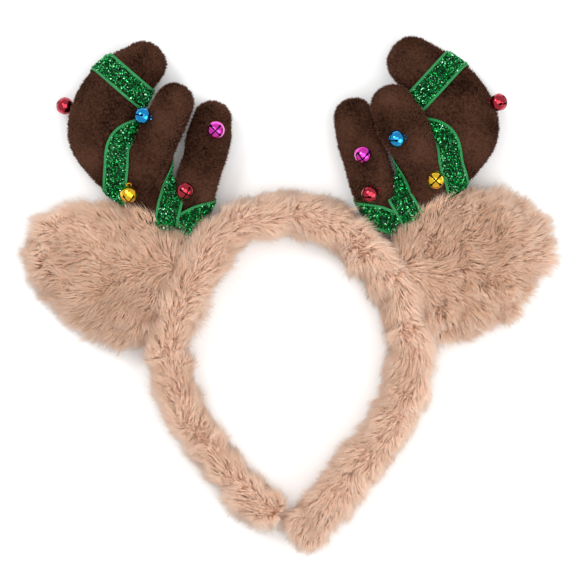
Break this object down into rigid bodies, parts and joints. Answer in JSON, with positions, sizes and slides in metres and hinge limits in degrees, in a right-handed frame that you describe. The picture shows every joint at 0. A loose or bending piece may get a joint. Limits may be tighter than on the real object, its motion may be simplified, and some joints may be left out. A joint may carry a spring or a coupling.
{
  "type": "reindeer costume headband",
  "caption": "Open fur-covered head band with padded fur ears, stuffed plush antlers wound with glitter ribbon, and small jingle bells sewn to the antlers; worn over the crown of the head.",
  "frame": {"origin": "centre of the overall outline on the surface that the headband lies on, face up", "axes": "+X to the right of the face, from ear to ear, +Y from the band's ends towards the antler tips, +Z out of the face, away from the surface"},
  "size_m": [0.2463, 0.2353, 0.0323],
  "materials": {
    "fur": "long-pile tan faux fur",
    "plush": "short-pile dark brown plush",
    "ribbon": "green glitter ribbon with satin edges",
    "bell_red": "glossy metallic red",
    "bell_blue": "glossy metallic blue",
    "bell_pink": "glossy metallic pink",
    "bell_gold": "glossy metallic gold"
  },
  "bodies": {
    "root": {"band": "fur", "ear_left": "fur", "ear_right": "fur", "antler_left": "plush", "antler_right": "plush", "ribbon_left": "ribbon", "ribbon_right": "ribbon", "bell_left_1": "bell_red", "bell_left_2": "bell_blue", "bell_left_3": "bell_pink", "bell_left_4": "bell_gold", "bell_left_5": "bell_red", "bell_right_1": "bell_red", "bell_right_2": "bell_blue", "bell_right_3": "bell_pink", "bell_right_4": "bell_gold", "bell_right_5": "bell_red"}
  },
  "joints": []
}
